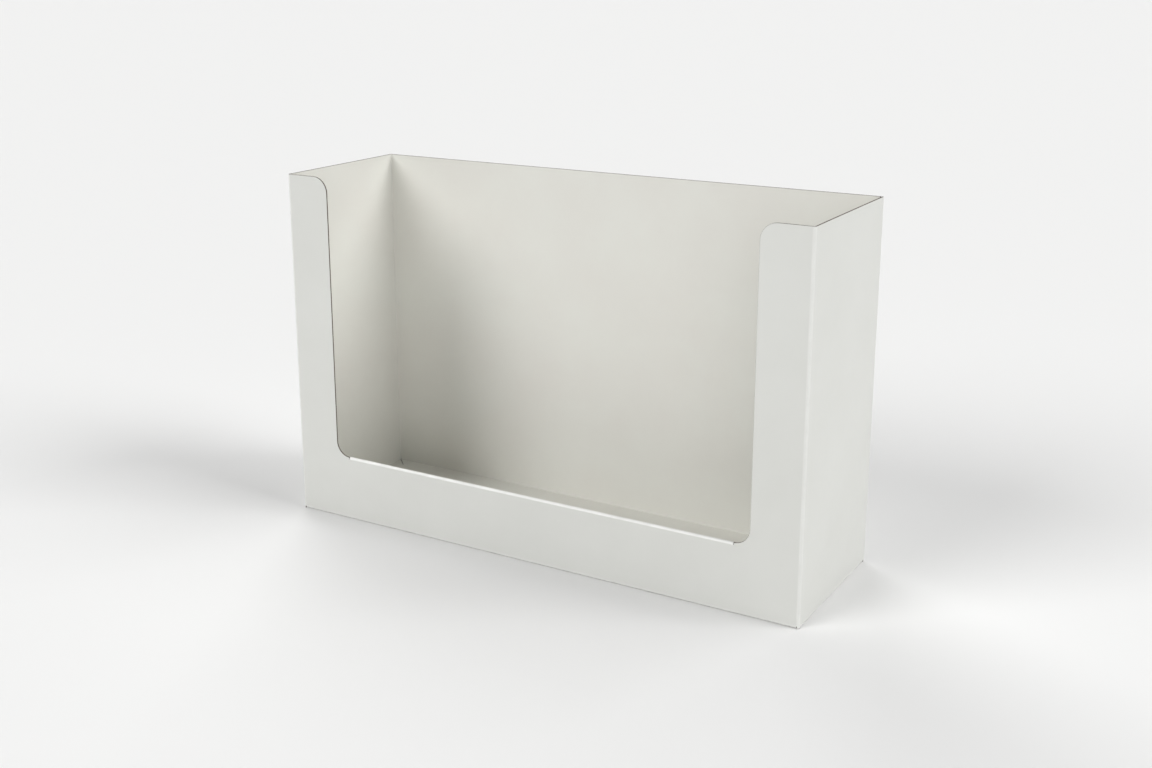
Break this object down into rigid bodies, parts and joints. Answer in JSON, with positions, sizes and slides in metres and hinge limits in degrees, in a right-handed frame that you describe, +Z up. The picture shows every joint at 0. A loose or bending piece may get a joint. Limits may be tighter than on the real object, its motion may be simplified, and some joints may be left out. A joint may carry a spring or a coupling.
{
  "type": "counter display box",
  "caption": "Open-topped carton folded from one coated board, with a wide front window, a folded hem on its low front rail and a glued crash-lock bottom",
  "frame": {"origin": "middle of the footprint, on the surface that the box stands on", "axes": "+X to the right along the window, +Y from the window to the back wall, +Z up"},
  "size_m": [0.298, 0.09, 0.19],
  "materials": {
    "coated_board": "matte"
  },
  "bodies": {
    "root": {"folded_box": "coated_board"}
  },
  "joints": []
}
